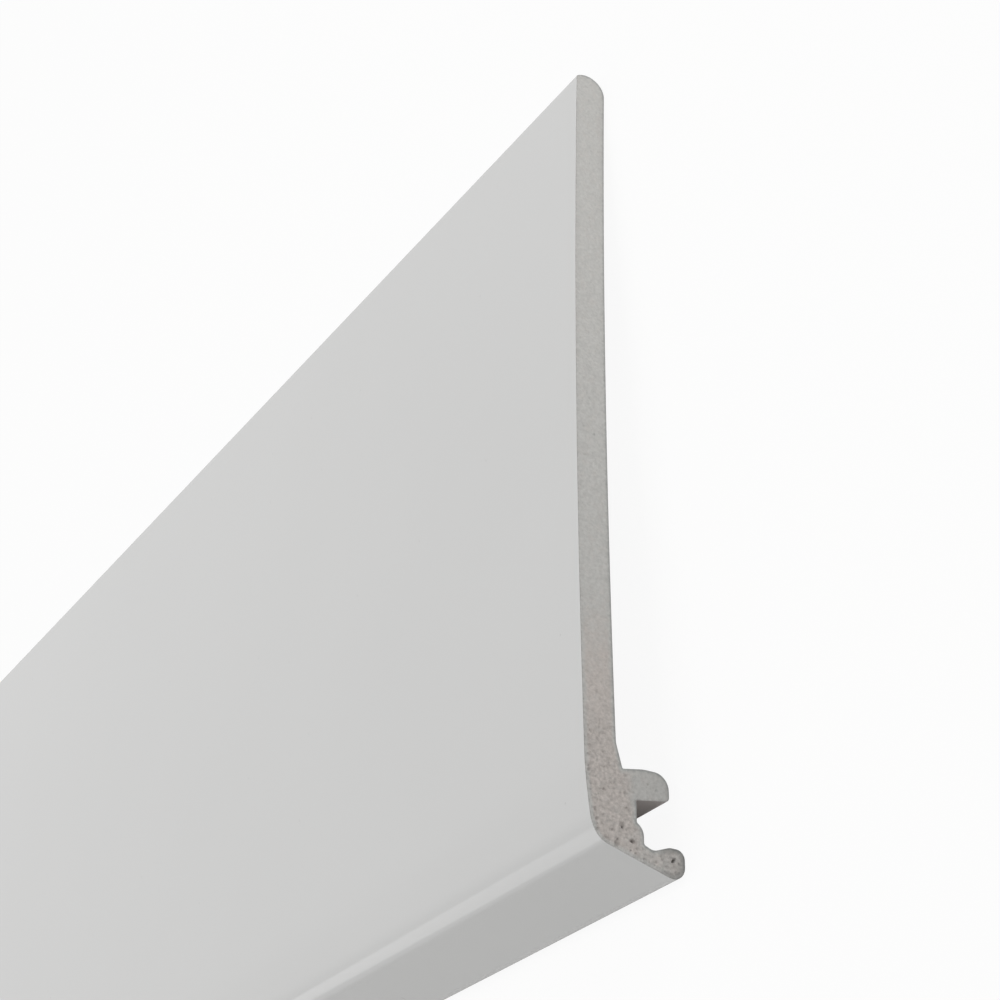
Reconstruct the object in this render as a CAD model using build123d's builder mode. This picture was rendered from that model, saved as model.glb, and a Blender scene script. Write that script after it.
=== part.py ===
"""Fascia board in white cellular PVC: a bowed panel with a returned leg and a soffit groove.

One extrusion, so one solid. Millimetres. The section is drawn by two measures: the
height up the board from the foot of its face, and the depth behind that face.
The board lies face up on the floor, on the end of its leg and the back of its top
edge, with its length along X.
"""
import os
from math import acos, asin, atan2, cos, dist, hypot, pi, radians, sin, sqrt, tan

from build123d import *

# Board
board_length = 2500.0
board_height = 225.5
panel_thickness = 9.0
face_bow = 1.5

# Top edge: one round from the back face, which the face meets at a small corner
top_round = 5.5
top_corner_round = 0.7

# Front foot: the face leans back above a broad round
foot_height = 17.5
foot_lean = 6.4
foot_ease_round = 100.0
foot_round = 8.0

# Leg: its underside falls away from the face, and its end is swollen
heel_height = 1.65
leg_fall = 16.5
leg_reach = 13.25
leg_waist_depth = 4.5
leg_waist_thickness = 4.45
leg_waist_round = 2.8
leg_end_height = 8.7
leg_end_flat = 4.2
leg_neck_rise = 0.05
leg_neck_round = 3.3
leg_end_inner_round = 2.3
leg_end_outer_round = 3.5

# Groove: a flat back wall, with a rounded bulge between it and the leg
groove_wall_offset = 5.2
groove_wall_height = 5.45
bulge_depth = 1.9
bulge_slope_height = 1.6
bulge_face_height = 3.6
bulge_base_height = 1.05
bulge_round = 3.4
bulge_base_round = 0.8
groove_corner_round = 0.5

# Lip above the groove, and the gusset that carries it from the back face
lip_reach = 9.35
lip_underside_rise = 9.0
lip_root_height = 7.15
lip_crown_rise = 1.05
lip_crown_depth = 5.9
lip_crown_round = 12.4
lip_nose_round = 4.0
lip_edge_round = 1.2
gusset_depth = 1.7
gusset_height = 6.3
gusset_top_round = 6.0
gusset_foot_round = 0.4

# The rounds of two neighbouring corners leave this much of the side between them straight
least_straight = 0.02

# The face is an arc, and the back runs parallel to it
mid_height = board_height / 2
face_radius = (mid_height**2 + face_bow**2) / (2 * face_bow)
bow_centre_depth = face_radius - face_bow


def arc_depth(height, inset):
    """Depth, at a height up the board, of the arc that runs inset behind the face."""
    return bow_centre_depth - sqrt((face_radius - inset) ** 2 - (height - mid_height) ** 2)


def underside(depth):
    """Height of the leg's underside at a depth behind the face."""
    return heel_height - tan(radians(leg_fall)) * depth


# Top edge: the centre of its round, and the angles where it leaves the back and the face
top_centre_height = board_height - top_round
top_centre_depth = arc_depth(top_centre_height, panel_thickness - top_round)
centre_gap = face_radius - panel_thickness + top_round
gap_cosine = (top_round**2 + centre_gap**2 - face_radius**2) / (2 * top_round * centre_gap)
back_angle = atan2(mid_height - top_centre_height, bow_centre_depth - top_centre_depth)
face_angle = back_angle + acos(gap_cosine)

# Depths, chained from the back of the panel
groove_wall = arc_depth(foot_height, panel_thickness) + groove_wall_offset
bulge_nose = groove_wall + bulge_depth
waist_depth = groove_wall + leg_waist_depth
leg_end = groove_wall + leg_reach
neck_depth = leg_end - leg_end_flat
lip_tip = groove_wall + lip_reach

# Heights, chained from the underside of the leg
waist_height = underside(waist_depth) + leg_waist_thickness
bulge_base = waist_height + bulge_base_height
bulge_brow = bulge_base + bulge_face_height
bulge_top = bulge_brow + bulge_slope_height
groove_ceiling = bulge_top + groove_wall_height
lip_edge = groove_ceiling + tan(radians(lip_underside_rise)) * lip_reach
lip_root = groove_ceiling + lip_root_height
lip_crown = lip_root + lip_crown_rise
gusset_top = lip_root + gusset_height
gusset_back = arc_depth(gusset_top, panel_thickness)
gusset_foot = gusset_back + gusset_depth
leg_end_low = underside(leg_end)
leg_end_high = leg_end_low + leg_end_height
neck_height = leg_end_high + leg_neck_rise

# Foot of the face: a leaning line from the face down to the underside of the leg
lean = tan(radians(foot_lean))
fall = tan(radians(leg_fall))
foot_depth = arc_depth(foot_height, 0)
toe_height = (heel_height - fall * (foot_depth + lean * foot_height)) / (1 - fall * lean)
toe_depth = foot_depth + lean * (foot_height - toe_height)

# Corners from the panel's back round to its face: depth, height and round
back_side = (arc_depth(mid_height, panel_thickness), mid_height)
face_side = (arc_depth(mid_height, 0), mid_height)
drawn_corners = [
    (gusset_back, gusset_top, gusset_top_round),
    (gusset_foot, lip_root, gusset_foot_round),
    (gusset_foot + lip_crown_depth, lip_crown, lip_crown_round),
    (lip_tip, lip_crown, lip_nose_round),
    (lip_tip, lip_edge, lip_edge_round),
    (groove_wall, groove_ceiling, groove_corner_round),
    (groove_wall, bulge_top, groove_corner_round),
    (bulge_nose, bulge_brow, bulge_round),
    (bulge_nose, bulge_base, bulge_base_round),
    (waist_depth, waist_height, leg_waist_round),
    (neck_depth, neck_height, leg_neck_round),
    (leg_end, leg_end_high, leg_end_inner_round),
    (leg_end, leg_end_low, leg_end_outer_round),
    (toe_depth, toe_height, foot_round),
    (foot_depth, foot_height, foot_ease_round),
]


def half_turn(before, corner, after):
    """Tangent of half the angle by which the outline turns at a corner."""
    coming = atan2(corner[1] - before[1], corner[0] - before[0])
    going = atan2(after[1] - corner[1], after[0] - corner[0])
    return abs(tan((going - coming + pi) % (2 * pi) / 2 - pi / 2))


def with_room(drawn):
    """The corners, with the round of each held to what its two sides have room for."""
    points = [back_side, *[corner[:2] for corner in drawn], face_side]
    turns = [half_turn(*points[place : place + 3]) for place in range(len(drawn))]
    taken = [0, *[turn * corner[2] for turn, corner in zip(turns, drawn)], 0]
    shares = []
    for place in range(len(taken) - 1):
        room = dist(points[place], points[place + 1]) - least_straight
        shares.append(room / (taken[place] + taken[place + 1]))
    return [
        (depth, height, radius * min(1, shares[place], shares[place + 1]))
        for place, (depth, height, radius) in enumerate(drawn)
    ]


corners = with_room(drawn_corners)

# Lying down: the floor touches the inner round of the leg's end and the round of the top
inner_depth = leg_end - leg_end_inner_round
inner_height = leg_end_high - leg_end_inner_round
outer_depth = leg_end - leg_end_outer_round
outer_height = underside(outer_depth) + leg_end_outer_round / cos(radians(leg_fall))
rest_depth = inner_depth - top_centre_depth
rest_height = top_centre_height - inner_height
round_step = asin((top_round - leg_end_inner_round) / hypot(rest_depth, rest_height))
tilt = atan2(rest_depth, rest_height) - round_step


def along_floor(depth, height):
    """Distance along the floor, across the board, of a point of the section."""
    return height * cos(tilt) - depth * sin(tilt)


top_side = along_floor(top_centre_depth, top_centre_height) + top_round
leg_side = along_floor(outer_depth, outer_height) - leg_end_outer_round
foot_up = inner_depth * cos(tilt) + inner_height * sin(tilt) + leg_end_inner_round
section_plane = Plane(
    origin=(0, -(top_side + leg_side) / 2, foot_up),
    x_dir=(0, cos(tilt), -sin(tilt)),
    z_dir=(1, 0, 0),
)


def flat(depth, height):
    """Sketch point of a depth and height: along the board's height, then up to its face."""
    return (height, -depth)


def on_top_round(angle):
    """Sketch point on the round of the top edge, from straight behind the face upwards."""
    depth = top_centre_depth + top_round * cos(angle)
    height = top_centre_height + top_round * sin(angle)
    return flat(depth, height)


with BuildPart() as fascia_board:
    with BuildSketch(section_plane) as section:
        with BuildLine():
            back_top = on_top_round(back_angle)
            back_foot = flat(gusset_back, gusset_top)
            ThreePointArc(back_top, flat(*back_side), back_foot)
            Polyline(*[flat(depth, height) for depth, height, radius in corners])
            face_foot = flat(foot_depth, foot_height)
            face_top = on_top_round(face_angle)
            ThreePointArc(face_foot, flat(*face_side), face_top)
            ThreePointArc(face_top, on_top_round(pi / 2), back_top)
        make_face()
        for depth, height, radius in corners:
            fillet(section.vertices().sort_by_distance(flat(depth, height))[0], radius)
        fillet(section.vertices().sort_by_distance(face_top)[0], top_corner_round)
    extrude(amount=board_length / 2, both=True)
fascia_board.part.label = "fascia_board"

os.makedirs("parts", exist_ok=True)
export_step(fascia_board.part, "parts/fascia_board.step")
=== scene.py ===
import math

import bmesh
import bpy
import numpy as np
from bpy.props import FloatProperty, FloatVectorProperty, IntProperty, PointerProperty
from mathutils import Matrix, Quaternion, Vector
from mathutils.geometry import delaunay_2d_cdt


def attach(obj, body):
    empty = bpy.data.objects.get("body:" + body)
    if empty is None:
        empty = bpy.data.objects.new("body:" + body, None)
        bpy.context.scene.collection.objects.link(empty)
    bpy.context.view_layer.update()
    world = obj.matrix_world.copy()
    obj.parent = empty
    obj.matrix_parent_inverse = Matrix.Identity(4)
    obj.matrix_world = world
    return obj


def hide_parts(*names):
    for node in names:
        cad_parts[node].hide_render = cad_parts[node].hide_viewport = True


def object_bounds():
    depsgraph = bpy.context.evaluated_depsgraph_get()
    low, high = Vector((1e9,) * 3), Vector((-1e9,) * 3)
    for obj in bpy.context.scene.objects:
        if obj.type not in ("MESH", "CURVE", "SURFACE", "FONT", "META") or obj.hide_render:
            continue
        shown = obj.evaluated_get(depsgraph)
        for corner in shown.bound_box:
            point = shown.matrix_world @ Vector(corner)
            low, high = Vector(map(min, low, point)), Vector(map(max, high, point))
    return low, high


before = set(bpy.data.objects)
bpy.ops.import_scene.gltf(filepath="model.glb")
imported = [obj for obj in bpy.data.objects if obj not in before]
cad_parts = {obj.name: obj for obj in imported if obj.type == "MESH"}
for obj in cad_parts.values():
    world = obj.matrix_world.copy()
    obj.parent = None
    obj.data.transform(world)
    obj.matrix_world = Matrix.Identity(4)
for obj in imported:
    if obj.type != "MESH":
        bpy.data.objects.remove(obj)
CAD_LOW, CAD_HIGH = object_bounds()
NODE = "fascia_board"

bl_info = {
    "name": "Fascia board",
    "version": (1, 0, 0),
    "blender": (4, 5, 0),
    "location": "View3D > Sidebar > Fascia board",
    "description": "Dresses a cellular PVC fascia board: satin skin, sawn foam ends and a studio",
    "category": "Object",
}

MM = 0.001
# Points closer than this are one point, in metres
SAME_PLACE = 1e-7


def linear(hex_colour):
    """Linear RGB of an sRGB colour written as RRGGBB."""
    steps = [int(hex_colour[i:i + 2], 16) / 255 for i in (0, 2, 4)]
    return [s / 12.92 if s <= 0.04045 else ((s + 0.055) / 1.055) ** 2.4 for s in steps]


def node(tree, kind, settings=None, inputs=None):
    """Adds a node, gives it its settings, and sets or links its inputs."""
    made = tree.nodes.new(kind)
    for name, value in (settings or {}).items():
        setattr(made, name, value)
    for name, value in (inputs or {}).items():
        if isinstance(value, bpy.types.NodeSocket):
            tree.links.new(value, made.inputs[name])
        else:
            made.inputs[name].default_value = value
    return made


def empty_tree(owner):
    """The node tree of a new material or world, with nothing in it."""
    owner.use_nodes = True
    owner.node_tree.nodes.clear()
    return owner.node_tree


class BoardSettings(bpy.types.PropertyGroup):
    """Sizes and colours of the dressed board."""

    edge_step: FloatProperty(
        name="Outline step", description="Longest step between points of the section's outline",
        default=0.8 * MM, unit="LENGTH", subtype="DISTANCE", precision=5)
    station_step: FloatProperty(
        name="Length step", description="Distance between the rings of points along the board",
        default=100 * MM, unit="LENGTH", subtype="DISTANCE")
    foot_step: FloatProperty(
        name="Foot step", description="Distance between the points of a sawn end in the thick foot",
        default=0.24 * MM, unit="LENGTH", subtype="DISTANCE", precision=5)
    panel_step: FloatProperty(
        name="Panel step", description="Distance between the points of a sawn end in the panel",
        default=0.45 * MM, unit="LENGTH", subtype="DISTANCE", precision=5)
    skin_thickness: FloatProperty(
        name="Skin thickness", description="Solid skin that shows round a sawn end",
        default=0.35 * MM, unit="LENGTH", subtype="DISTANCE", precision=5)
    cell_size: FloatProperty(
        name="Cell size", description="Width of the foam's cells, drawn as coarse as they show",
        default=0.8 * MM, unit="LENGTH", subtype="DISTANCE", precision=5)
    top_contrast: FloatProperty(
        name="Top mottle", description="How strongly the cells show at the top edge", default=0.28)
    panel_contrast: FloatProperty(
        name="Panel mottle", description="How strongly the cells show in the panel", default=0.40)
    foot_contrast: FloatProperty(
        name="Foot mottle", description="How strongly the cells show in the foot", default=0.86)
    pit_size: FloatProperty(
        name="Pit size", description="Half the width of a pinhead pit in the skin",
        default=0.45 * MM, unit="LENGTH", subtype="DISTANCE", precision=5)
    pit_spacing: FloatProperty(
        name="Pit spacing", description="Side of the square in which one pit may lie",
        default=38 * MM, unit="LENGTH", subtype="DISTANCE")
    seed: IntProperty(
        name="Seed", description="Starts the draw of the burst cells", default=11)
    skin_colour: FloatVectorProperty(
        name="Skin", description="Colour of the board's skin",
        default=linear("D6D6D5"), size=3, min=0, max=1, subtype="COLOR")
    foam_colour: FloatVectorProperty(
        name="Foam", description="Colour of the sawn foam",
        default=linear("C4C3C0"), size=3, min=0, max=1, subtype="COLOR")
    core_colour: FloatVectorProperty(
        name="Core", description="Colour of the coarse foam in the thick foot",
        default=linear("C6BFBA"), size=3, min=0, max=1, subtype="COLOR")
    rim_colour: FloatVectorProperty(
        name="Front rim", description="Colour of the skin where it is sawn through at the face",
        default=linear("B4B3B0"), size=3, min=0, max=1, subtype="COLOR")
    back_rim_colour: FloatVectorProperty(
        name="Back rim", description="Colour of the skin where it is sawn through at the back",
        default=linear("AAABA9"), size=3, min=0, max=1, subtype="COLOR")
    # Painted shade: the skin inside the soffit groove is painted darker and warmer, where shade
    # falls under the lip
    groove_shade_colour: FloatVectorProperty(
        name="Groove shade", description="Colour of the painted shade on the skin inside the soffit groove",
        default=linear("BFB7B4"), size=3, min=0, max=1, subtype="COLOR")


class StudioSettings(bpy.types.PropertyGroup):
    """Camera, lamps and floor."""

    lens: FloatProperty(
        name="Lens", description="Focal length on a 36 mm sensor, in millimetres", default=80.57)
    eye: FloatVectorProperty(
        name="Camera", description="Where the camera stands",
        default=(1.65676, -0.27017, 0.30342), size=3, unit="LENGTH", subtype="XYZ", precision=5)
    aim: FloatVectorProperty(
        name="Aim", description="Point at the middle of the picture",
        default=(1.20583, 0.00165, 0.01570), size=3, unit="LENGTH", subtype="XYZ", precision=5)
    roll: FloatProperty(
        name="Roll", description="Turn of the camera about its own axis, clockwise",
        default=math.radians(78.04), unit="ROTATION", subtype="ANGLE")
    floor_side: FloatProperty(
        name="Floor", description="Length of a side of the floor",
        default=40.0, unit="LENGTH", subtype="DISTANCE")
    floor_colour: FloatVectorProperty(
        name="Floor colour", description="Colour of the floor",
        default=linear("F2F2F1"), size=3, min=0, max=1, subtype="COLOR")
    veil: FloatProperty(
        name="Veil", description="Share of plain white that the camera sees over the floor",
        default=0.92, min=0, max=1)
    daylight: FloatProperty(
        name="Room light", description="Strength of the even light from all round", default=0.42)


def end_loop(obj):
    """The outline of the CAD solid's end at +X: points across the board and up, in order."""
    mesh = bmesh.new()
    mesh.from_mesh(obj.data)
    bmesh.ops.remove_doubles(mesh, verts=mesh.verts, dist=SAME_PLACE)
    mesh.normal_update()
    after = {}
    for edge in mesh.edges:
        if all(v.co.x > CAD_HIGH.x - 0.001 * MM for v in edge.verts):
            for loop in edge.link_loops:
                if loop.face.normal.x > 0.9 and any(f.normal.x < 0.5 for f in edge.link_faces):
                    start, end = loop.vert, loop.link_loop_next.vert
                    after[(start.co.y, start.co.z)] = (end.co.y, end.co.z)
    mesh.free()
    first = min(after)
    loop = [first]
    while after[loop[-1]] != first:
        loop.append(after[loop[-1]])
    return np.array(loop)


def unit(vectors):
    """The vectors at length one."""
    return vectors / np.linalg.norm(vectors, axis=-1, keepdims=True)


# Neighbouring sides of one round differ in length by less than this many times
EVEN_SIDES = 1.5


def smooth_outline(loop, step):
    """Redraws the outline's rounds through the CAD's points, with steps no longer than given.

    Every corner of the board is round, so the outline has one direction at each point. On a
    round it halves the turn. Where a round meets a flat or a wider round, it follows the
    longer side.
    """
    count = len(loop)
    chord = np.roll(loop, -1, axis=0) - loop
    length = np.linalg.norm(chord, axis=1)
    way = unit(chord)
    before = np.roll(length, 1)
    heading = unit(way + np.roll(way, 1, axis=0))
    known = np.maximum(before, length) < EVEN_SIDES * np.minimum(before, length)
    for i in np.flatnonzero(~known):
        ahead = length[i] > before[i]
        side = way[i] if ahead else way[i - 1]
        far = (i + 1) % count if ahead else i - 1
        heading[i] = 2 * side.dot(heading[far]) * side - heading[far] if known[far] else side
    points = []
    for i in range(count):
        end = (i + 1) % count
        parts = max(1, math.ceil(length[i] / step))
        for k in range(parts):
            t = k / parts
            rise, settle = t * (1 - t) ** 2, t * t * (1 - t)
            blend = t * t * (3 - 2 * t)
            points.append(
                loop[i] * (1 - blend) + loop[end] * blend
                + length[i] * (rise * heading[i] - settle * heading[end]))
    return np.array(points)


def inward(outline):
    """Direction into the section at each point of the outline."""
    along = np.roll(outline, -1, axis=0) - np.roll(outline, 1, axis=0)
    return unit(np.c_[-along[:, 1], along[:, 0]])


# The board leans on its leg: this is how far its height runs down to the floor. Places on a sawn
# end are given in millimetres, as a depth behind the crown of the face and a height above the
# lowest point of the leg.
LEAN = math.radians(4.718)
UP = np.array([math.cos(LEAN), -math.sin(LEAN)])
BACK = np.array([-math.sin(LEAN), -math.cos(LEAN)])


# The toe is where the leaning foot of the face turns into the underside of the leg. Its two sides
# are long straight edges, known by the angle in degrees from the front down to their outward
# normal. It starts this far above its corner, and turns more the nearer it comes to the leg.
TOE_SIDE = 5 * MM
LEAN_ANGLES = (3, 12)
UNDERSIDE_ANGLES = (65, 82)
TOE_START = 7.0 * MM
TOE_TIGHTENING = 1.7
TOE_POINTS = 15
# Its path is summed up from this many finer steps for each step between its points
TOE_FINE_STEPS = 20


def tightened_toe(loop):
    """The CAD's end loop with the toe as the die leaves it: soft off the face, tight to the leg."""
    edges = np.roll(loop, -1, axis=0) - loop
    outward = np.c_[edges[:, 1], -edges[:, 0]]
    angle = np.degrees(np.arctan2(outward @ -UP, outward @ -BACK))
    straight = np.linalg.norm(edges, axis=1) > TOE_SIDE
    lean, under = (
        int(np.flatnonzero(straight & (angle > low) & (angle < high))[0])
        for low, high in (LEAN_ANGLES, UNDERSIDE_ANGLES))
    comes, goes = unit(edges[lean]), unit(edges[under])
    toe = loop[lean] + comes * np.linalg.solve(np.c_[comes, goes], loop[under] - loop[lean])[0]
    way = np.linspace(0, 1, (TOE_POINTS - 1) * TOE_FINE_STEPS + 1)
    turned_by = math.acos(comes.dot(goes)) * way ** TOE_TIGHTENING
    heading = math.atan2(comes[1], comes[0]) + turned_by
    path = np.cumsum(np.c_[np.cos(heading), np.sin(heading)], axis=0)
    path *= TOE_START / np.linalg.solve(np.c_[comes, goes], path[-1])[0]
    kept = np.roll(loop, -under - 1, axis=0)[:len(loop) - (under - lean) % len(loop)]
    return np.concatenate([kept, toe - comes * TOE_START + path[::TOE_FINE_STEPS]])


def skin_near(points, outline):
    """Distance of each point from the outline, negative outside the section, and how far the
    skin nearest to it faces the front or the foot."""
    outward = -inward(outline)
    front = np.maximum(outward @ -BACK, outward @ -UP)
    nearest = np.full(len(points), 1e9)
    facing = np.zeros(len(points))
    crossings = np.zeros(len(points), int)
    for a, b, way in zip(outline, np.roll(outline, -1, axis=0), front):
        side = b - a
        t = np.clip((points - a) @ side / side.dot(side), 0, 1)
        gap = np.hypot(*(points - a - t[:, None] * side).T)
        closer = gap < nearest
        nearest[closer], facing[closer] = gap[closer], way
        spans = (a[1] > points[:, 1]) != (b[1] > points[:, 1])
        if spans.any():
            meets = a[0] + (points[:, 1] - a[1]) * side[0] / side[1]
            crossings += spans & (points[:, 0] < meets)
    return np.where(crossings % 2 == 1, nearest, -nearest), facing


def depth_inside(points, outline):
    """Distance of each point from the outline, negative outside the section."""
    return skin_near(points, outline)[0]


# Burst cells that the photographed end shows: depth, height, half length, half width, the
# direction of their length as a step in depth and one in height, how deep and how dark they are
# The last column is painted shade: how dark each cell's hollow is painted
BURST_CELLS = [
    (11.3, 10.6, 1.00, 0.75, (0.8, -1.3), 0.35, 0.45),
    (11.3, 10.1, 0.50, 0.34, (0.8, -1.3), 1.00, 0.85),
    (9.6, 5.8, 1.20, 0.85, (0.3, 1.0), 0.35, 0.42),
    (9.9, 6.9, 0.40, 0.32, (1.0, 0.0), 0.45, 0.40),
    (14.0, 7.1, 0.75, 0.48, (1.0, -0.15), 0.70, 0.75),
    (25.4, 4.6, 0.85, 0.45, (1.3, 1.4), 1.00, 1.00),
    (12.2, 18.6, 0.65, 0.42, (1.0, 0.1), 0.30, 0.32),
    (6.2, 18.4, 0.50, 0.38, (1.0, 0.0), 0.30, 0.30),
    (2.1, 22.5, 0.65, 0.38, (0.0, 1.0), 0.30, 0.34),
    (3.8, 13.2, 0.65, 0.38, (0.1, 1.0), 0.35, 0.38),
    (4.2, 10.7, 0.60, 0.40, (0.2, 1.0), 0.35, 0.36),
    (4.4, 8.4, 0.55, 0.38, (0.3, 1.0), 0.35, 0.38),
    (6.8, 6.7, 0.85, 0.42, (1.0, -0.7), 0.30, 0.34),
    (8.4, 8.9, 0.45, 0.32, (0.6, 1.0), 0.30, 0.34),
    (12.5, 15.0, 0.45, 0.32, (1.0, 0.0), 0.30, 0.30),
    (18.4, 6.0, 0.38, 0.28, (1.0, -0.5), 0.40, 0.45),
    (13.9, 3.6, 0.50, 0.36, (1.0, -0.4), 0.45, 0.50),
    (15.5, 3.3, 0.50, 0.34, (1.0, -0.6), 0.45, 0.45),
    (16.1, 2.6, 0.42, 0.30, (1.0, -0.3), 0.40, 0.40),
    (17.8, 2.3, 0.50, 0.32, (1.0, -0.3), 0.40, 0.45),
    (20.4, 3.2, 0.42, 0.34, (1.0, 0.3), 0.30, 0.30),
    (20.7, 1.6, 0.55, 0.32, (1.0, -0.3), 0.40, 0.45),
    (22.4, 1.3, 0.55, 0.34, (1.0, -0.3), 0.40, 0.45),
    (23.6, 1.1, 0.42, 0.32, (1.0, -0.3), 0.40, 0.38),
    (26.1, 1.6, 0.90, 0.60, (1.0, 0.3), 0.30, 0.30),
    (9.2, 56.7, 0.40, 0.32, (1.0, 0.0), 0.30, 0.36),
    (5.3, 114.3, 0.32, 0.55, (1.0, 0.0), 0.30, 0.36),
    (0.8, 92.1, 0.80, 0.40, (0.0, 1.0), 0.20, 0.34),
]
# The far end has the same cells at drawn places, and no cell comes nearer to the skin than this
DRAWN_DEPTH, DRAWN_HEIGHT = (4, 14), (4, 30)
CELL_CLEARANCE = 0.8 * MM

# Every drawn cell is this wide for its length. Small ones lie anywhere, most where the foam is
# coarse: how many places are tried, what share of them is kept, and the cells' size, their depth
# for their size, and how much painted shade lies in their hollows
CELL_WIDTH = (0.6, 1.0)
SMALL_TRIES = 12000
SMALL_CLEARANCE = 1.0 * MM
SMALL_SHARE, SMALL_SHARE_COARSE = 0.012, 0.13
SMALL_SIZE = (0.25, 0.5)
SMALL_SINK = (0.2, 0.5)
SMALL_SHADE = (0.08, 0.3)

# A row of cells follows the skin of the foot's front and underside: how far the skin has to face
# that way, how high the row goes, and the depth and height beyond which lie the groove and lip
ROW_FACING = 0.5
ROW_TOP = 30
GROOVE_CORNER = (12, 9)
ROW_INSIDE = (0.8, 1.5)
ROW_STEP = (1.1, 2.6)
ROW_SIZE = (0.22, 0.42)
# How deep the row's cells sink for their size, and the painted shade in their hollows
ROW_SINK, ROW_SHADE = 0.6, 0.4

# Below this height the points of a sawn end lie closer
FOOT_HEIGHT = 36.0


def section_corner(outline):
    """The least depth and the least height of the outline, in metres."""
    return np.array([(outline @ BACK).min(), (outline @ UP).min()])


def to_section(points, corner):
    """Depth and height of each point, in millimetres."""
    return (np.c_[points @ BACK, points @ UP] - corner) / MM


def from_section(depth, height, corner):
    """Point across the board and up, in metres, at a depth and a height in millimetres."""
    return BACK * (depth * MM + corner[0]) + UP * (height * MM + corner[1])


def fade(values, start, stop):
    """Zero at the start and one at the stop, with a smooth step between them."""
    t = np.clip((values - start) / (stop - start), 0, 1)
    return t * t * (3 - 2 * t)


# Painted light: the foam is painted brighter by this much for each millimetre up the board, up to
# the top height, where the light on the sawn end is stronger. At the middle one it has its own
# colour.
PAINTED_LIGHT_RISE = 0.001
PAINTED_LIGHT_MIDDLE = 120.0
PAINTED_LIGHT_TOP = 168.0

# Where the foam changes: each pair says where a change starts and where it is whole, as a depth,
# a height or a distance inside the skin
LIP_DEPTH, LIP_HEIGHT = (11.5, 15.5), (14.5, 17.5)
CORE_INSIDE = (0.3, 1.6)
COARSE_HEIGHT = (56, 24)
WARM_HEIGHT = (74, 44)
LEG_DEPTH = (13, 18)
LEG_END_DEPTH, LEG_END_HEIGHT = (20, 24), (11, 9)
BORDER_INSIDE = (1.7, 0.5)
DENSE_INSIDE = (2.0, 0.3)
PANEL_HEIGHT = (215, 120)
# Painted shade: these bound the part of the skin inside the soffit groove that is painted darker
GROOVE_BOTTOM, GROOVE_TOP, GROOVE_DEPTH = (12.2, 13.0), (20.1, 19.3), (15.0, 15.2)
# Skin belongs to the back as it turns away from the front and the foot, from this share to that
BACK_FACING = (0.6, 0.1)

# How much finer the lip is, how coarse the foam stays at the skin, how much cooler the leg is, and
# what part of the light each kind of foam takes away
LIP_FINENESS = 0.85
COARSE_AT_SKIN = 0.5
LEG_COOLNESS = 0.45
COARSE_LOSS, LIP_LOSS, BORDER_LOSS, LEG_END_LOSS, DENSE_LOSS = 0.03, 0.03, 0.24, 0.06, 0.035
# At its fullest, the burst cells' painted shade takes away this share of the foam's brightness
PAINTED_CELL_SHADE = 0.75


def foam_character(points, distance, facing, corner):
    """How coarse, how warm and how bright the foam is at each point of an end, and how far the
    point belongs to the back.

    The thick foot cools last, so its cells grow coarse. The foam is denser towards the skin. The
    lip freezes early, and the leg's end, which the die held longest, has a dense dark border. The
    foam is also painted brighter up the board, which is painted light.
    """
    depth, height = to_section(points, corner).T
    inside = distance / MM
    lip = fade(depth, *LIP_DEPTH) * fade(height, *LIP_HEIGHT)
    core = fade(inside, *CORE_INSIDE)
    coarse = fade(height, *COARSE_HEIGHT) * (1 - LIP_FINENESS * lip)
    coarse = coarse * (COARSE_AT_SKIN + (1 - COARSE_AT_SKIN) * core)
    warm = fade(height, *WARM_HEIGHT) * (1 - lip) * core
    warm = warm * (1 - LEG_COOLNESS * fade(depth, *LEG_DEPTH))
    behind = fade(facing, *BACK_FACING)
    leg_end = fade(depth, *LEG_END_DEPTH) * fade(height, *LEG_END_HEIGHT)
    border = leg_end * fade(inside, *BORDER_INSIDE)
    dense = fade(inside, *DENSE_INSIDE)
    # Painted light: the foam is painted brighter up the board, up to the top height
    rise = np.minimum(height, PAINTED_LIGHT_TOP) - PAINTED_LIGHT_MIDDLE
    level = 1 + PAINTED_LIGHT_RISE * rise - COARSE_LOSS * coarse - LIP_LOSS * lip
    level = level * (1 - BORDER_LOSS * border) * (1 - LEG_END_LOSS * leg_end)
    return coarse, warm, level * (1 - DENSE_LOSS * dense), behind


def lattice(low, high, step):
    """Points of a triangular lattice over a box."""
    xs = np.arange(low[0], high[0], step)
    ys = np.arange(low[1], high[1], step * math.sqrt(3) / 2)
    grid = np.stack(np.meshgrid(xs, ys), -1)
    grid[1::2, :, 0] += step / 2
    return grid.reshape(-1, 2)


def end_points(outline, settings, corner):
    """Points of a sawn end inside its outline: two rings at the skin, then a close lattice.

    A ring's point is left out where another side of the outline comes nearer than it should, and
    the lattice keeps over half a step away from the inner ring.
    """
    skin = settings.skin_thickness
    rings = []
    for share in (0.5, 1.0):
        ring = outline + inward(outline) * skin * share
        rings.append(ring[depth_inside(ring, outline) > skin * share * 0.95])
    low, high = outline.min(0), outline.max(0)
    for step, in_foot in ((settings.foot_step, True), (settings.panel_step, False)):
        points = lattice(low, high, step)
        points = points[(to_section(points, corner)[:, 1] < FOOT_HEIGHT) == in_foot]
        rings.append(points[depth_inside(points, outline) > skin + step * 0.6])
    return np.concatenate(rings)


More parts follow.
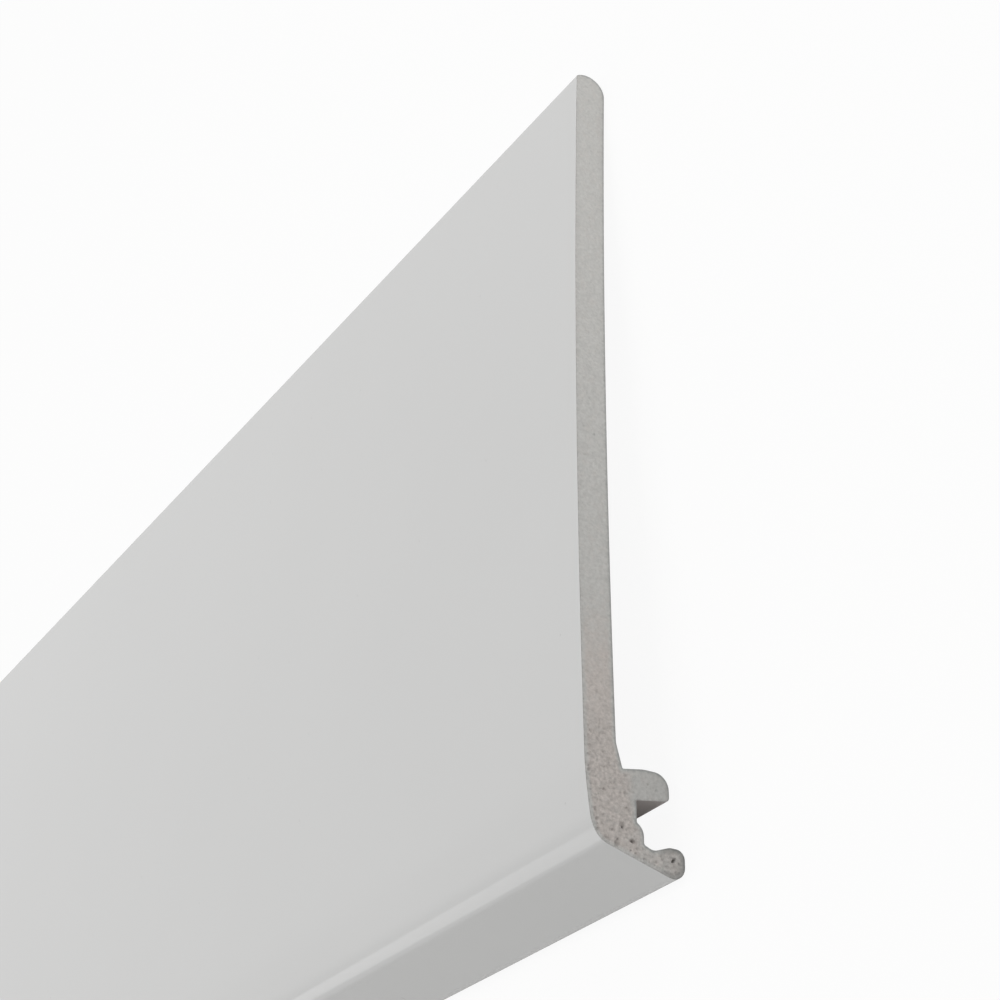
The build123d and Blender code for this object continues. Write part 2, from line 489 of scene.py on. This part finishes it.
def skin_row(outline, corner, rng):
    """Small cells that burst in a row close under the skin of the foot's front and underside."""
    front, below = (-inward(outline) @ axis for axis in (-BACK, -UP))
    depth, height = to_section(outline, corner).T
    behind = (depth > GROOVE_CORNER[0]) & (height > GROOVE_CORNER[1])
    outside = (np.maximum(front, below) > ROW_FACING) & (height < ROW_TOP) & ~behind
    made, walked, next_cell = [], 0.0, 0.0
    for i in np.flatnonzero(outside):
        walked += np.linalg.norm(outline[i] - outline[i - 1]) / MM
        if walked > next_cell:
            next_cell = walked + rng.uniform(*ROW_STEP)
            place = outline[i] + inward(outline)[i] * rng.uniform(*ROW_INSIDE) * MM
            size = rng.uniform(*ROW_SIZE) * MM
            made.append((place, size, size * rng.uniform(*CELL_WIDTH), turned(rng),
                         ROW_SINK * size, ROW_SHADE))
    return made


def turned(rng):
    """A direction drawn at random."""
    angle = rng.uniform(0, math.pi)
    return np.array([math.cos(angle), math.sin(angle)])


def burst_cells(outline, settings, drawn, corner):
    """Burst cells of one end: place, half axes, direction, how deep, and how much painted shade
    lies in their hollows.
    """
    rng = np.random.default_rng(settings.seed + drawn)
    made = []
    for depth, height, long, wide, (back, up), deep, painted_cell_shade in BURST_CELLS:
        if drawn:
            depth, height = rng.uniform(*DRAWN_DEPTH), rng.uniform(*DRAWN_HEIGHT)
        along = unit(BACK * back + UP * up)
        place = from_section(depth, height, corner)
        if depth_inside(place[None], outline)[0] > CELL_CLEARANCE:
            made.append((place, long * MM, wide * MM, along, deep * MM, painted_cell_shade))
    made += skin_row(outline, corner, rng)
    tries = rng.uniform(outline.min(0), outline.max(0), (SMALL_TRIES, 2))
    inside, facing = skin_near(tries, outline)
    tries, inside, facing = (part[inside > SMALL_CLEARANCE] for part in (tries, inside, facing))
    coarse = foam_character(tries, inside, facing, corner)[0]
    kept = rng.random(len(tries)) < SMALL_SHARE + SMALL_SHARE_COARSE * coarse
    for point in tries[kept]:
        size = rng.uniform(*SMALL_SIZE) * MM
        made.append((point, size, size * rng.uniform(*CELL_WIDTH), turned(rng),
                     size * rng.uniform(*SMALL_SINK), rng.uniform(*SMALL_SHADE)))
    return made


# A burst cell is searched for up to this many half lengths away. This share of its painted shade
# follows its depth, and the rest gathers at its bottom.
CELL_SEARCH = 1.5
EVEN_SHADE = 0.4


def sink(points, made):
    """How deep the burst cells are at each point, and how much painted shade they put there.

    A cell is hollow like half an egg, and its painted shade is deepest at its bottom.
    """
    deep, painted_cell_shade = np.zeros(len(points)), np.zeros(len(points))
    for place, long, wide, along, bottom, shade in made:
        near = np.flatnonzero(np.abs(points - place).max(1) < CELL_SEARCH * long)
        offset = points[near] - place
        span = 1 - (offset @ along / long) ** 2 - (offset @ [-along[1], along[0]] / wide) ** 2
        span = np.clip(span, 0, 1)
        hollow = np.sqrt(span)
        gathered = EVEN_SHADE + (1 - EVEN_SHADE) * span
        deep[near] = np.maximum(deep[near], bottom * hollow)
        painted_cell_shade[near] = np.maximum(painted_cell_shade[near], shade * hollow * gathered)
    return deep, painted_cell_shade


def sawn_end(outline, inner):
    """Triangles of one sawn end, over the outline's points and then the inner ones."""
    everything = np.concatenate([outline, inner]) / MM
    count = len(outline)
    border = [(i, (i + 1) % count) for i in range(count)]
    _, _, faces, origin, _, _ = delaunay_2d_cdt(
        [Vector(point) for point in everything], border, [], 1, SAME_PLACE)
    source = [o[0] for o in origin]
    return [[source[v] for v in face] for face in faces]


# What the materials read at each point of the mesh
ATTRIBUTES = ("skin_depth", "mottle", "warm", "level", "behind", "groove")


def in_groove(outline, corner):
    """How far each point of the outline lies inside the soffit groove, where the skin is painted
    darker as painted shade.
    """
    depth, height = to_section(outline, corner).T
    return fade(height, *GROOVE_BOTTOM) * fade(height, *GROOVE_TOP) * fade(depth, *GROOVE_DEPTH)


def mottle_strength(points, coarse, settings, corner):
    """How strongly the cells show at each point: least at the top edge, most in the foot."""
    height = to_section(points, corner)[:, 1]
    panel = settings.top_contrast + fade(height, *PANEL_HEIGHT) * (
        settings.panel_contrast - settings.top_contrast)
    return panel + (settings.foot_contrast - panel) * coarse


def end_values(inner, outline, made, settings, corner):
    """How deep each inner point of an end sinks, and its attributes."""
    inside, facing = skin_near(inner, outline)
    coarse, warm, level, behind = foam_character(inner, inside, facing, corner)
    mottle = mottle_strength(inner, coarse, settings, corner)
    deep, painted_cell_shade = sink(inner, made)
    plain = np.zeros(len(inner))
    # The burst cells' painted shade darkens the level
    return deep, np.c_[inside, mottle, warm, level * (1 - PAINTED_CELL_SHADE * painted_cell_shade), behind, plain]


def board_mesh(settings):
    """The whole board as one closed mesh: its skin as rings along the length, and two sawn ends."""
    loop = tightened_toe(end_loop(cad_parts[NODE]))
    outline = smooth_outline(loop, settings.edge_step)
    corner = section_corner(outline)
    count = len(outline)
    stations = round((CAD_HIGH.x - CAD_LOW.x) / settings.station_step) + 1
    xs = np.linspace(CAD_HIGH.x, CAD_LOW.x, stations)
    verts = [np.c_[np.full(count, x), outline] for x in xs]
    faces, kinds = [], []
    for ring in range(stations - 1):
        for i in range(count):
            j = (i + 1) % count
            a, b = ring * count, (ring + 1) * count
            faces.append((a + i, b + i, b + j, a + j))
            kinds.append(0)
    last = (stations - 1) * count
    start = stations * count
    inner = end_points(outline, settings, corner)
    triangles = sawn_end(outline, inner)
    at_skin = np.zeros(count)
    just_inside = outline + inward(outline) * 0.01 * MM
    facing = skin_near(just_inside, outline)[1]
    coarse, warm, level, behind = foam_character(outline, at_skin, facing, corner)
    mottle = mottle_strength(outline, coarse, settings, corner)
    values = [np.tile(np.c_[at_skin, mottle, warm, level, behind, in_groove(outline, corner)],
                      (stations, 1))]
    for drawn, (x, inwards, ring) in enumerate(((xs[0], -1, 0), (xs[-1], 1, last))):
        made = burst_cells(outline, settings, drawn, corner)
        deep, inner_values = end_values(inner, outline, made, settings, corner)
        verts.append(np.c_[x + inwards * deep, inner])
        values.append(inner_values)
        for triangle in triangles:
            corners = [ring + v if v < count else start + v - count for v in triangle]
            faces.append(tuple(corners if drawn == 0 else reversed(corners)))
            kinds.append(1)
        start += len(inner)
    mesh = bpy.data.meshes.new("extruded_board")
    mesh.from_pydata(np.concatenate(verts).tolist(), [], faces)
    mesh.polygons.foreach_set("material_index", kinds)
    mesh.polygons.foreach_set("use_smooth", [True] * len(faces))
    for name, column in zip(ATTRIBUTES, np.concatenate(values).T):
        mesh.attributes.new(name, "FLOAT", "POINT").data.foreach_set(
            "value", column.astype(np.float32))
    mesh.validate()
    pairs = np.zeros(len(mesh.edges) * 2, int)
    mesh.edges.foreach_get("vertices", pairs)
    pairs = pairs.reshape(-1, 2)
    on_rim = (pairs < count).all(1) | ((pairs >= last) & (pairs < last + count)).all(1)
    mesh.attributes.new("sharp_edge", "BOOLEAN", "EDGE").data.foreach_set("value", on_rim)
    return mesh


# The skin: how wide its slow waves and its fine grain are, how bright the waves are at their least
# and most, what share of the pits is left out, and a pit's brightness and its height for the
# grain's
WAVE_SIZE = 60 * MM
GRAIN_SIZE = 1.2 * MM
WAVE_LEVELS = (0.988, 1.012)
PITS_LEFT_OUT = 0.5
PIT_LEVEL = 0.86
PIT_RELIEF = -3.0


def satin_skin(settings):
    """Co-extruded rigid PVC skin, drawn through a cooled sizing die.

    The die leaves it satin and almost even: one white with a soft sheen that turns bright along
    the rounds, a very slow waviness, and now and then a pinhead pit. Inside the soffit groove it
    is painted darker and warmer, as painted shade.
    """
    material = bpy.data.materials.new("satin_pvc_skin")
    tree = empty_tree(material)
    dimmest, brightest, pit_colour = (
        [c * level for c in settings.skin_colour] + [1] for level in (*WAVE_LEVELS, PIT_LEVEL))
    place = node(tree, "ShaderNodeTexCoord").outputs["Object"]
    wave = node(tree, "ShaderNodeTexNoise", {}, {
        "Vector": place, "Scale": 1 / WAVE_SIZE, "Detail": 2.0, "Roughness": 0.4})
    grain = node(tree, "ShaderNodeTexNoise", {}, {
        "Vector": place, "Scale": 1 / GRAIN_SIZE, "Detail": 3.0, "Roughness": 0.6})
    # Pinhead pits: one drawn in each square of the face, and few squares keep theirs
    pit_field = node(tree, "ShaderNodeTexVoronoi", {"voronoi_dimensions": "2D"}, {
        "Vector": place, "Scale": 1 / settings.pit_spacing})
    pit = node(tree, "ShaderNodeMapRange", {"interpolation_type": "SMOOTHSTEP"}, {
        "Value": pit_field.outputs["Distance"], "From Min": 0.0,
        "From Max": settings.pit_size / settings.pit_spacing, "To Min": 1.0, "To Max": 0.0})
    drawn = node(tree, "ShaderNodeSeparateColor", {}, {"Color": pit_field.outputs["Color"]})
    kept = node(tree, "ShaderNodeMath", {"operation": "GREATER_THAN"}, {
        0: drawn.outputs["Red"], 1: PITS_LEFT_OUT})
    pitted = node(tree, "ShaderNodeMath", {"operation": "MULTIPLY"}, {
        0: pit.outputs["Result"], 1: kept.outputs["Value"]})
    tint = node(tree, "ShaderNodeMix", {"data_type": "RGBA"}, {
        "Factor": wave.outputs["Fac"], "A": dimmest, "B": brightest})
    soiled = node(tree, "ShaderNodeMix", {"data_type": "RGBA"}, {
        "Factor": pitted.outputs["Value"], "A": tint.outputs["Result"], "B": pit_colour})
    # Painted shade: the skin inside the groove is painted darker and warmer, where shade falls
    # under the lip
    groove = node(tree, "ShaderNodeAttribute", {"attribute_name": "groove"})
    groove_shaded = node(tree, "ShaderNodeMix", {"data_type": "RGBA"}, {
        "Factor": groove.outputs["Fac"], "A": soiled.outputs["Result"],
        "B": list(settings.groove_shade_colour) + [1]})
    relief = node(tree, "ShaderNodeMath", {"operation": "MULTIPLY_ADD"}, {
        0: pitted.outputs["Value"], 1: PIT_RELIEF, 2: grain.outputs["Fac"]})
    bump = node(tree, "ShaderNodeBump", {}, {
        "Height": relief.outputs["Value"], "Strength": 0.10, "Distance": 0.03 * MM})
    shader = node(tree, "ShaderNodeBsdfPrincipled", {}, {
        "Base Color": groove_shaded.outputs["Result"], "Roughness": 0.10, "IOR": 1.53,
        "Normal": bump.outputs["Normal"]})
    node(tree, "ShaderNodeOutputMaterial", {}, {"Surface": shader.outputs["BSDF"]})
    return material


# The foam: its tints are this many cells wide and drift by this much between cool and warm. The
# sawn skin starts to fade at this share of its thickness, and is wider at the back by this many
# times its thickness.
TINT_CELLS = 3
TINT_DRIFT = 1.2
RIM_FADE = 0.3
BACK_RIM_EXTRA = 1.3


def sawn_foam(settings):
    """Free-foamed rigid PVC, sawn across.

    The opened cells give a fine matte mottle without sheen. In the thick foot it is coarser,
    warmer and darker, since light sinks into the wide cells there. Burst cells are painted dark,
    which is painted shade in their hollows, and the foam is painted brighter up the board, which is
    painted light. The solid skin shows as a thin neutral line round the cut.
    """
    material = bpy.data.materials.new("sawn_pvc_foam")
    tree = empty_tree(material)
    place = node(tree, "ShaderNodeTexCoord").outputs["Object"]
    # The level attribute is the foam's own brightness, with painted light rising up the board and
    # the burst cells' painted shade
    inside, contrast, warm, shade, behind = (
        node(tree, "ShaderNodeAttribute", {"attribute_name": name}).outputs["Fac"]
        for name in ("skin_depth", "mottle", "warm", "level", "behind"))
    cells = node(tree, "ShaderNodeTexNoise", {}, {
        "Vector": place, "Scale": 1 / settings.cell_size, "Detail": 1.5, "Roughness": 0.55})
    tints = node(tree, "ShaderNodeTexNoise", {}, {
        "Vector": place, "Scale": 1 / (TINT_CELLS * settings.cell_size),
        "Detail": 2.0, "Roughness": 0.6})
    centred = node(tree, "ShaderNodeMath", {"operation": "SUBTRACT"}, {
        0: cells.outputs["Fac"], 1: 0.5})
    mottle = node(tree, "ShaderNodeMath", {"operation": "MULTIPLY_ADD"}, {
        0: centred.outputs["Value"], 1: contrast, 2: 1.0})
    level = node(tree, "ShaderNodeMath", {"operation": "MULTIPLY"}, {
        0: shade, 1: mottle.outputs["Value"]})
    drift = node(tree, "ShaderNodeMath", {"operation": "MULTIPLY_ADD"}, {
        0: tints.outputs["Fac"], 1: TINT_DRIFT, 2: -TINT_DRIFT / 2})
    warmth = node(tree, "ShaderNodeMath", {"operation": "ADD", "use_clamp": True}, {
        0: warm, 1: drift.outputs["Value"]})
    hue = node(tree, "ShaderNodeMix", {"data_type": "RGBA"}, {
        "Factor": warmth.outputs["Value"], "A": list(settings.foam_colour) + [1],
        "B": list(settings.core_colour) + [1]})
    # The rim is the skin's own thickness at the front, and wider and ragged at the back
    ragged = node(tree, "ShaderNodeMath", {"operation": "MULTIPLY_ADD"}, {
        0: centred.outputs["Value"], 1: settings.skin_thickness, 2: inside})
    width = node(tree, "ShaderNodeMath", {"operation": "MULTIPLY_ADD"}, {
        0: behind, 1: BACK_RIM_EXTRA * settings.skin_thickness, 2: settings.skin_thickness})
    rim = node(tree, "ShaderNodeMapRange", {"interpolation_type": "SMOOTHSTEP"}, {
        "Value": ragged.outputs["Value"], "From Min": settings.skin_thickness * RIM_FADE,
        "From Max": width.outputs["Value"], "To Min": 0.0, "To Max": 1.0})
    skin = node(tree, "ShaderNodeMix", {"data_type": "RGBA"}, {
        "Factor": behind, "A": list(settings.rim_colour) + [1],
        "B": list(settings.back_rim_colour) + [1]})
    plain = node(tree, "ShaderNodeMix", {"data_type": "RGBA"}, {
        "Factor": rim.outputs["Result"], "A": skin.outputs["Result"], "B": hue.outputs["Result"]})
    colour = node(tree, "ShaderNodeVectorMath", {"operation": "SCALE"}, {
        "Vector": plain.outputs["Result"], "Scale": level.outputs["Value"]})
    bump = node(tree, "ShaderNodeBump", {}, {
        "Height": cells.outputs["Fac"], "Strength": 0.35, "Distance": 0.25 * MM})
    shader = node(tree, "ShaderNodeBsdfPrincipled", {}, {
        "Base Color": colour.outputs["Vector"], "Roughness": 0.9, "IOR": 1.45,
        "Normal": bump.outputs["Normal"]})
    node(tree, "ShaderNodeOutputMaterial", {}, {"Surface": shader.outputs["BSDF"]})
    return material


class OBJECT_OT_fascia_board(bpy.types.Operator):
    """Make the board as one closed mesh with its skin and its two sawn foam ends"""

    bl_idname = "fascia.extruded_board"
    bl_label = "Extruded board"

    def execute(self, context):
        settings = context.scene.fascia_board
        mesh = board_mesh(settings)
        mesh.materials.append(satin_skin(settings))
        mesh.materials.append(sawn_foam(settings))
        board = bpy.data.objects.new("extruded_board", mesh)
        context.scene.collection.objects.link(board)
        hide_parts(NODE)
        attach(board, "root")
        return {"FINISHED"}


# The soft boxes: name, place, the point each faces, its sides, its watts, and its turn in degrees
# about its own axis. The overhead one lights the face, the end one the cut. The window is mirrored
# in the toe, as the bright band along the board, so its outline follows that band's borders.
LAMPS = (
    ("overhead_box", (0.9, 0.0, 2.4), (0.9, 0.0, 0.0), (2.0, 2.0), 21, 0),
    ("window_box", (-1.684, -1.545, 1.505), (1.249, -0.331, -0.066), (2.2, 1.144), 7.3, -17.5),
    ("end_box", (2.1, 0.75, 0.35), (1.25, 0.05, 0.0), (0.7, 0.4), 4.4, 0),
)
FLOOR_GAP = 0.05 * MM


def add_lamp(name, place, aim, size, power, roll):
    """A soft box at a place, turned to a point and about its own axis."""
    data = bpy.data.lights.new(name, "AREA")
    data.shape = "RECTANGLE"
    data.size, data.size_y = size
    data.energy = power
    lamp = bpy.data.objects.new(name, data)
    lamp.location = place
    lamp.visible_camera = False
    lamp.rotation_mode = "QUATERNION"
    level = (Vector(aim) - Vector(place)).to_track_quat("-Z", "Y")
    lamp.rotation_quaternion = level @ Quaternion((0, 0, 1), roll)
    bpy.context.scene.collection.objects.link(lamp)


def white_room(settings):
    """A world of plain white to the camera and to mirrors, and of even light to all else."""
    world = bpy.data.worlds.new("white_room")
    tree = empty_tree(world)
    room = node(tree, "ShaderNodeBackground", {}, {
        "Color": (1, 1, 1, 1), "Strength": settings.daylight})
    path = node(tree, "ShaderNodeLightPath").outputs
    seen = node(tree, "ShaderNodeMath", {"operation": "MAXIMUM"}, {
        0: path["Is Camera Ray"], 1: path["Is Transmission Ray"]})
    seen = node(tree, "ShaderNodeMath", {"operation": "MAXIMUM"}, {
        0: seen.outputs["Value"], 1: path["Is Glossy Ray"]})
    white = node(tree, "ShaderNodeBackground", {}, {"Color": (1, 1, 1, 1), "Strength": 1.0})
    mix = node(tree, "ShaderNodeMixShader", {}, {
        "Fac": seen.outputs["Value"], 1: room.outputs["Background"],
        2: white.outputs["Background"]})
    node(tree, "ShaderNodeOutputWorld", {}, {"Surface": mix.outputs["Shader"]})
    return world


def floor_paint(settings):
    """Very pale matte paint under a veil of plain white.

    The veil is only what the camera sees, so the floor looks like the photograph's white and
    keeps a faint shadow, while its bounce on the board stays that of the paint.
    """
    paint = bpy.data.materials.new("floor_paint")
    tree = empty_tree(paint)
    shader = node(tree, "ShaderNodeBsdfDiffuse", {}, {
        "Color": list(settings.floor_colour) + [1]})
    seen = node(tree, "ShaderNodeLightPath").outputs["Is Camera Ray"]
    veil = node(tree, "ShaderNodeMath", {"operation": "MULTIPLY"}, {0: seen, 1: settings.veil})
    white = node(tree, "ShaderNodeEmission", {}, {"Color": (1, 1, 1, 1), "Strength": 1.0})
    both = node(tree, "ShaderNodeMixShader", {}, {
        "Fac": veil.outputs["Value"], 1: shader.outputs["BSDF"], 2: white.outputs["Emission"]})
    node(tree, "ShaderNodeOutputMaterial", {}, {"Surface": both.outputs["Shader"]})
    return paint


def add_floor(settings):
    """A large square sheet just under the board."""
    half = settings.floor_side / 2
    sheet = bpy.data.meshes.new("floor")
    sheet.from_pydata(
        [(-half, -half, 0), (half, -half, 0), (half, half, 0), (-half, half, 0)], [],
        [(0, 1, 2, 3)])
    sheet.materials.append(floor_paint(settings))
    floor = bpy.data.objects.new("floor", sheet)
    floor.location.z = CAD_LOW.z - FLOOR_GAP
    bpy.context.scene.collection.objects.link(floor)


def add_camera(settings):
    """The camera, turned to its aim and then about its own axis."""
    camera = bpy.data.objects.new("camera", bpy.data.cameras.new("camera"))
    camera.data.lens = settings.lens
    camera.data.sensor_width = 36
    camera.data.clip_start, camera.data.clip_end = 0.01, 100
    camera.location = settings.eye
    camera.rotation_mode = "QUATERNION"
    level = (Vector(settings.aim) - Vector(settings.eye)).to_track_quat("-Z", "Y")
    camera.rotation_quaternion = level @ Quaternion((0, 0, 1), -settings.roll)
    bpy.context.scene.collection.objects.link(camera)
    return camera


class SCENE_OT_fascia_stage(bpy.types.Operator):
    """Set the camera, the lamps, the white room and the floor"""

    bl_idname = "fascia.stage"
    bl_label = "Stage"

    def execute(self, context):
        settings = context.scene.fascia_studio
        context.scene.view_settings.view_transform = "Standard"
        context.scene.world = white_room(settings)
        add_floor(settings)
        for name, place, aim, size, power, roll in LAMPS:
            add_lamp(name, place, aim, size, power, math.radians(roll))
        context.scene.camera = add_camera(settings)
        return {"FINISHED"}


class VIEW3D_PT_fascia_board(bpy.types.Panel):
    """Lists the board's settings and the buttons that make it"""

    bl_idname = "VIEW3D_PT_fascia_board"
    bl_label = "Fascia board"
    bl_space_type = "VIEW_3D"
    bl_region_type = "UI"
    bl_category = "Fascia board"

    def draw(self, context):
        for settings in (context.scene.fascia_board, context.scene.fascia_studio):
            for name in settings.__annotations__:
                self.layout.prop(settings, name)
        self.layout.operator(OBJECT_OT_fascia_board.bl_idname)
        self.layout.operator(SCENE_OT_fascia_stage.bl_idname)


CLASSES = (
    BoardSettings, StudioSettings, OBJECT_OT_fascia_board, SCENE_OT_fascia_stage,
    VIEW3D_PT_fascia_board)


def register():
    for made in CLASSES:
        bpy.utils.register_class(made)
    bpy.types.Scene.fascia_board = PointerProperty(type=BoardSettings)
    bpy.types.Scene.fascia_studio = PointerProperty(type=StudioSettings)


def unregister():
    del bpy.types.Scene.fascia_studio
    del bpy.types.Scene.fascia_board
    for made in reversed(CLASSES):
        bpy.utils.unregister_class(made)


def main():
    register()
    bpy.ops.fascia.extruded_board()
    bpy.ops.fascia.stage()


if __name__ == "__main__":
    main()
